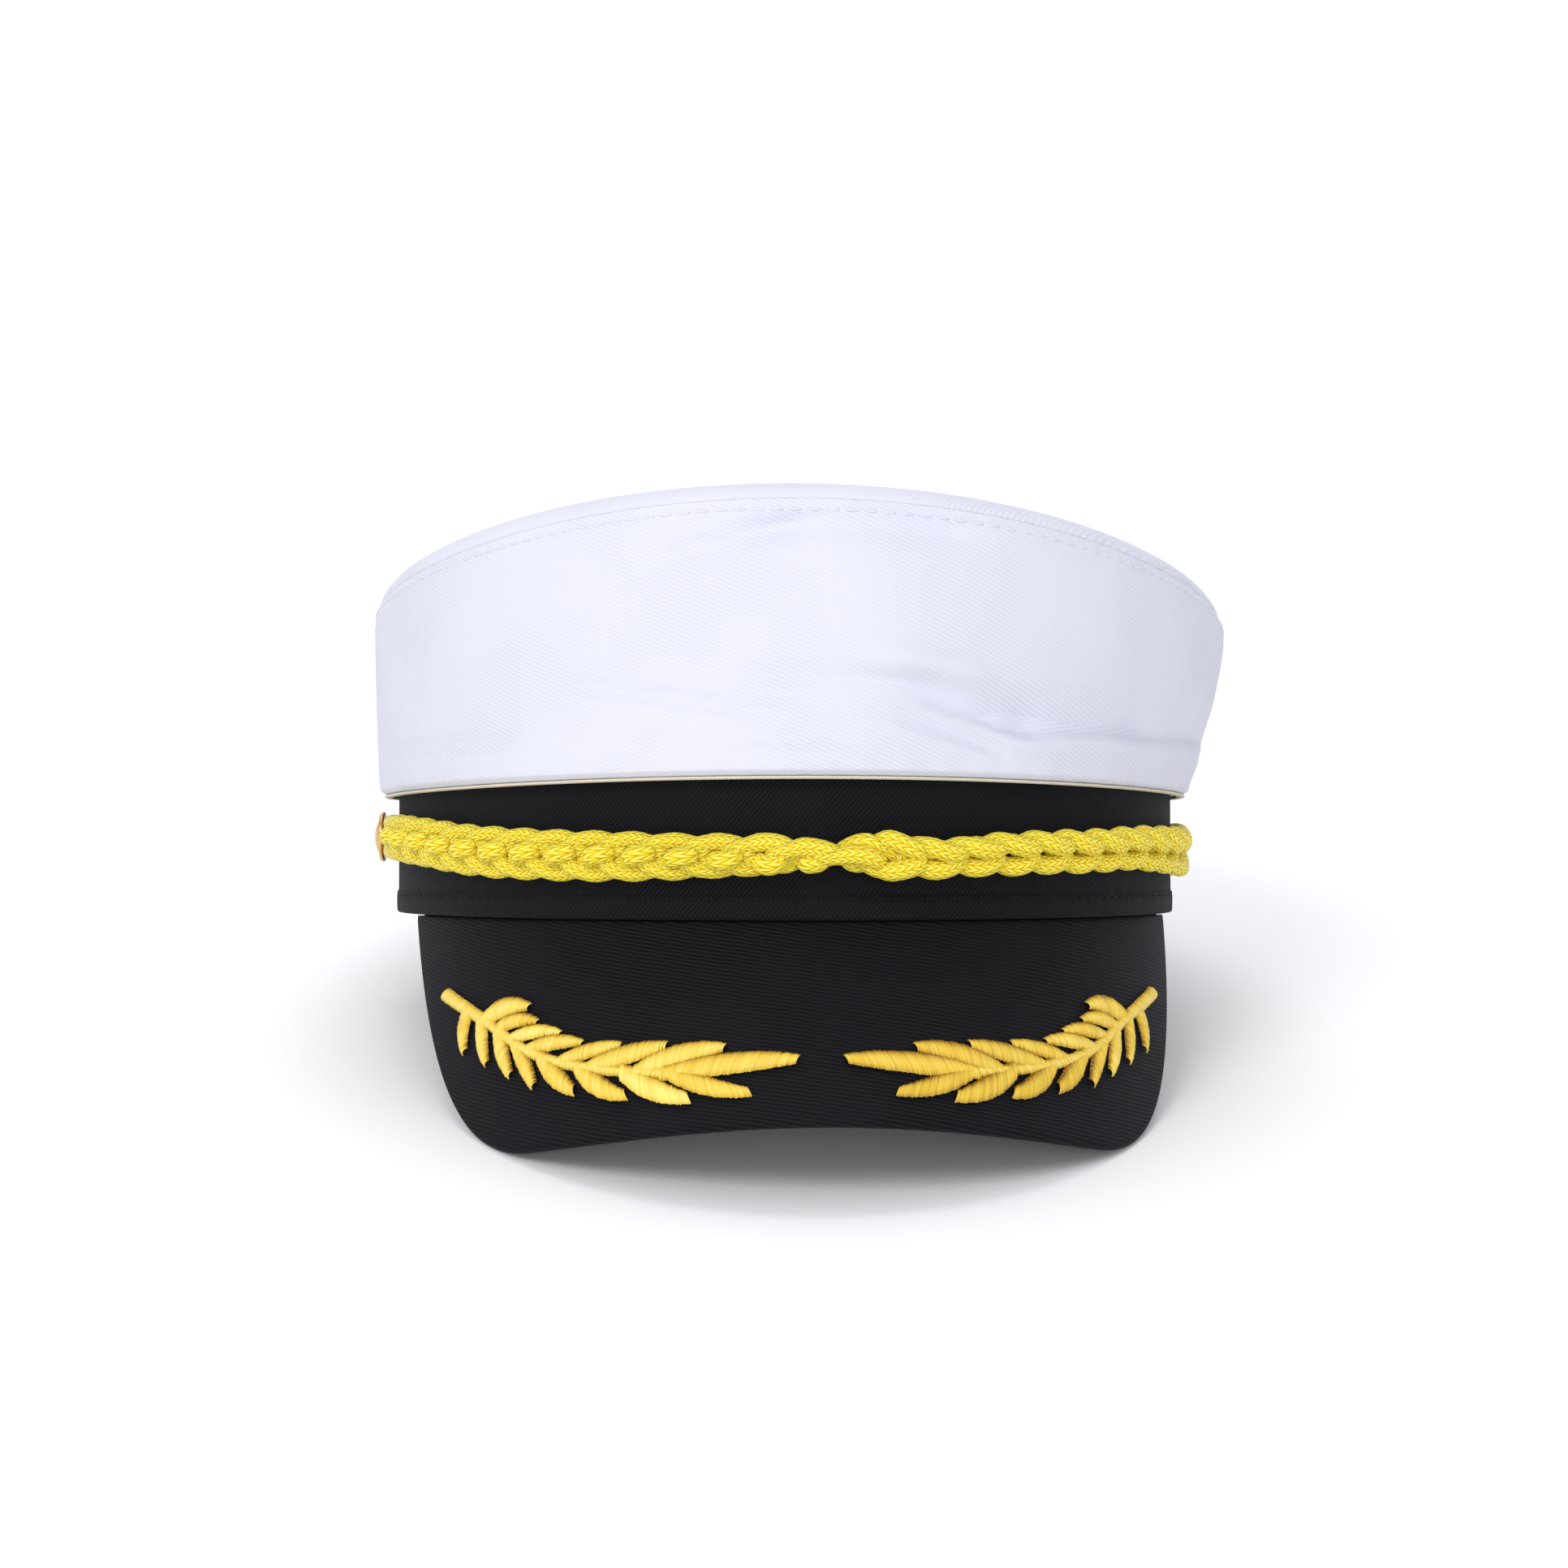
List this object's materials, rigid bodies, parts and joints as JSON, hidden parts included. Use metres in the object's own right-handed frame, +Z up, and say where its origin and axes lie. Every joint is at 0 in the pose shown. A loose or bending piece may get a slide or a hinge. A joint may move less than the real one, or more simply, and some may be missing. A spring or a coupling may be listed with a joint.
{
  "type": "captain hat",
  "caption": "Peaked cap with a white cloth crown, a black band, a sloping black peak with embroidered leaf sprays, and a yellow braid between two buttons.",
  "frame": {"origin": "on the surface that the hat stands on, under the middle of its bounding box", "axes": "+Z up, -Y the front of the hat with its peak, +X the wearer's left"},
  "size_m": [0.1954, 0.2514, 0.1299],
  "materials": {
    "white_cloth": "matte cotton twill",
    "black_cloth": "matte cotton twill",
    "peak_cloth": "matte ribbed cloth over board",
    "yellow_cord": "knitted cord with a soft sheen",
    "gold_thread": "satin stitch with a silky sheen",
    "gilt_button": "smooth gilt"
  },
  "bodies": {
    "root": {"crown_side": "white_cloth", "crown_top": "white_cloth", "band": "black_cloth", "peak": "peak_cloth", "braid": "yellow_cord", "spray_left": "gold_thread", "spray_right": "gold_thread", "button_left": "gilt_button", "button_right": "gilt_button"}
  },
  "joints": []
}
